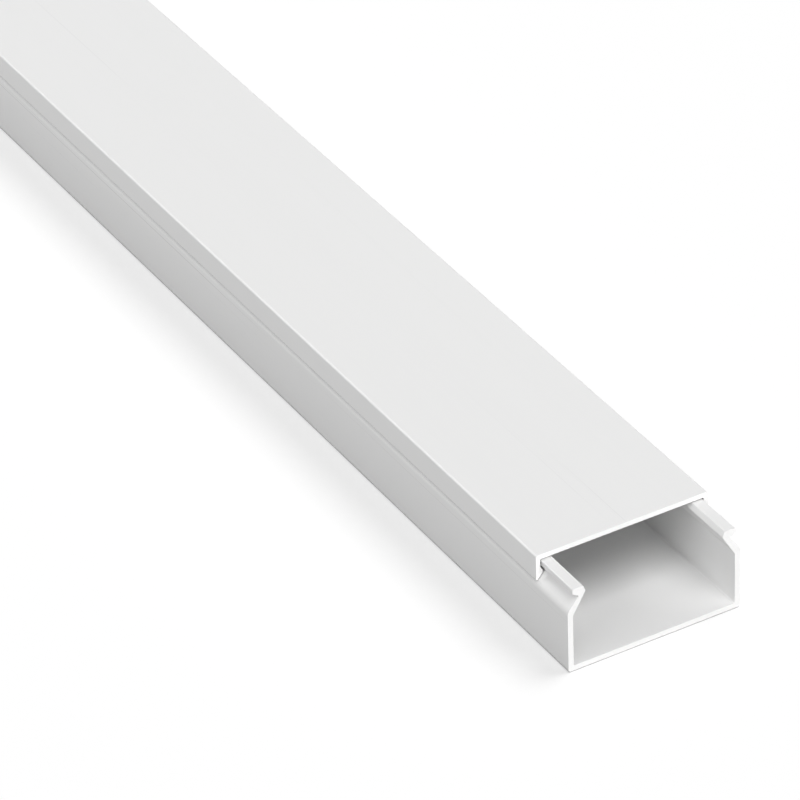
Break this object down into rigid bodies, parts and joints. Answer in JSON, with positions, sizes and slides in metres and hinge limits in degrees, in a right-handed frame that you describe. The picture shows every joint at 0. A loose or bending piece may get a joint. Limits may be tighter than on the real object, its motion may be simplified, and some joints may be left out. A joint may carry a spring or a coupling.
{
  "type": "cord cover raceway",
  "caption": "White PVC snap-lock cord raceway: an open channel base with out-turned lips and a flat clip-on cover, slid back from one end.",
  "frame": {"origin": "middle of the base's underside, where it meets the wall or floor", "axes": "+X along the raceway toward the near end in the picture, where the base stands proud of the cover; +Y across it; +Z away from the wall, out through the cover"},
  "size_m": [1.0115, 0.04, 0.021],
  "materials": {
    "base_pvc": "satin white rigid PVC, extruded, saw-cut ends",
    "cover_pvc": "satin white rigid PVC, extruded, saw-cut ends"
  },
  "bodies": {
    "base": {"base_channel": "base_pvc"},
    "cover": {"snap_cover": "cover_pvc"}
  },
  "joints": [
    {"name": "cover_slide", "type": "slide", "parent": "base", "child": "cover", "axis": [1, 0, 0], "range_m": [-0.4885, 0.5115]}
  ]
}
